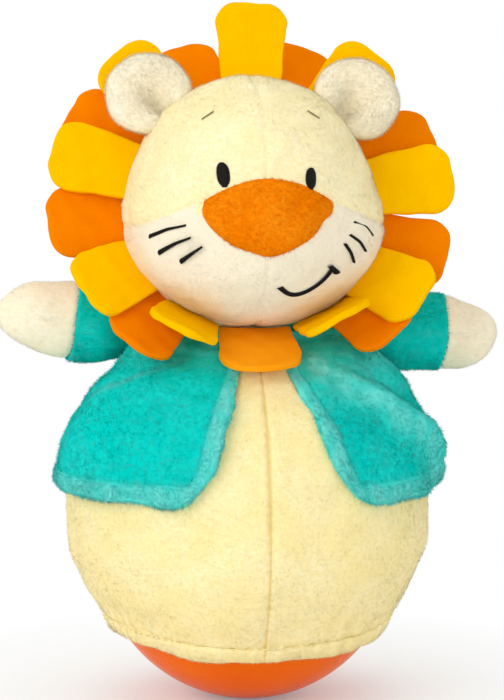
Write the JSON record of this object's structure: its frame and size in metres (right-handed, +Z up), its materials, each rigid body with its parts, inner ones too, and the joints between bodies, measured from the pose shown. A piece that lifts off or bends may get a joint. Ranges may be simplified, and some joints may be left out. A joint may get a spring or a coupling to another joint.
{
  "type": "roly poly toy",
  "caption": "Plush lion in a short jacket on a weighted plastic ball that rocks, rights itself and chimes; the head nods and turns on a soft neck and the arms swing.",
  "frame": {"origin": "middle of the small flat on the ball's underside that the toy rests on", "axes": "+Z up, the lion looks along -Y, +X to the lion's left"},
  "size_m": [0.1514, 0.1113, 0.2068],
  "materials": {
    "orange_plastic": "glossy moulded",
    "iron": "as cast",
    "steel": "drawn",
    "brass": "turned",
    "cream_plush": "short pile",
    "fill": "loose fibre",
    "elastic": "covered",
    "turquoise_fleece": "brushed pile",
    "orange_plush": "short pile",
    "black_thread": "satin stitch",
    "brown_thread": "satin stitch",
    "yellow_felt": "smooth felt",
    "orange_felt": "smooth felt"
  },
  "bodies": {
    "body": {"base_bowl": "orange_plastic", "base_dome": "orange_plastic", "ballast": "iron", "ballast_screws": "steel", "chime_rod_1": "steel", "chime_rod_2": "steel", "chime_rod_3": "steel", "chime_rod_4": "steel", "staple": "steel", "body_front_left": "cream_plush", "body_front_right": "cream_plush", "body_back_left": "cream_plush", "body_back_right": "cream_plush", "body_wadding": "fill", "hem_casing": "cream_plush", "hem_elastic": "elastic", "jacket_front_left": "turquoise_fleece", "jacket_front_right": "turquoise_fleece", "jacket_back": "turquoise_fleece"},
    "neck": {"neck_plug": "fill"},
    "head": {"head_crown": "cream_plush", "head_muzzle": "cream_plush", "head_back": "cream_plush", "head_wadding": "fill", "nose": "orange_plush", "eyes": "black_thread", "brows": "brown_thread", "whiskers": "black_thread", "mouth": "black_thread", "ear_left": "cream_plush", "ear_right": "cream_plush", "petal_01": "yellow_felt", "petal_02": "orange_felt", "petal_03": "yellow_felt", "petal_04": "orange_felt", "petal_05": "yellow_felt", "petal_06": "orange_felt", "petal_07": "yellow_felt", "petal_08": "orange_felt", "petal_09": "yellow_felt", "petal_10": "orange_felt", "petal_11": "yellow_felt", "petal_12": "orange_felt", "petal_13": "yellow_felt", "petal_14": "orange_felt", "petal_15": "yellow_felt", "petal_16": "orange_felt", "petal_17": "yellow_felt", "petal_18": "orange_felt"},
    "arm_left": {"sleeve_left": "turquoise_fleece", "hand_left": "cream_plush", "arm_wadding_left": "fill"},
    "arm_right": {"sleeve_right": "turquoise_fleece", "hand_right": "cream_plush", "arm_wadding_right": "fill"},
    "clapper_link": {"clapper_ring": "steel"},
    "clapper": {"clapper_wire": "steel", "clapper_ball": "brass"}
  },
  "joints": [
    {"name": "head_turn", "type": "hinge", "parent": "body", "child": "neck", "pos_m": [0, 0, 0.1105], "axis": [0, 0, 1], "range_deg": [-8, 8], "stiffness_Nm_per_rad": 0.15},
    {"name": "head_nod", "type": "hinge", "parent": "neck", "child": "head", "pos_m": [0, 0, 0.1105], "axis": [1, 0, 0], "range_deg": [-10, 2], "stiffness_Nm_per_rad": 0.4},
    {"name": "arm_left_swing", "type": "hinge", "parent": "body", "child": "arm_left", "pos_m": [0.03304, 0.00464, 0.11114], "axis": [0, -1, 0], "range_deg": [-7, 19], "stiffness_Nm_per_rad": 0.05},
    {"name": "arm_right_swing", "type": "hinge", "parent": "body", "child": "arm_right", "pos_m": [-0.03304, 0.00464, 0.11114], "axis": [0, 1, 0], "range_deg": [-21, 5], "stiffness_Nm_per_rad": 0.05},
    {"name": "ring_swing", "type": "hinge", "parent": "body", "child": "clapper_link", "pos_m": [0, 0, 0.07725], "axis": [0, 1, 0], "range_deg": [-14, 14]},
    {"name": "clapper_swing", "type": "hinge", "parent": "clapper_link", "child": "clapper", "pos_m": [0, 0, 0.07173], "axis": [1, 0, 0], "range_deg": [-16, 16]}
  ]
}
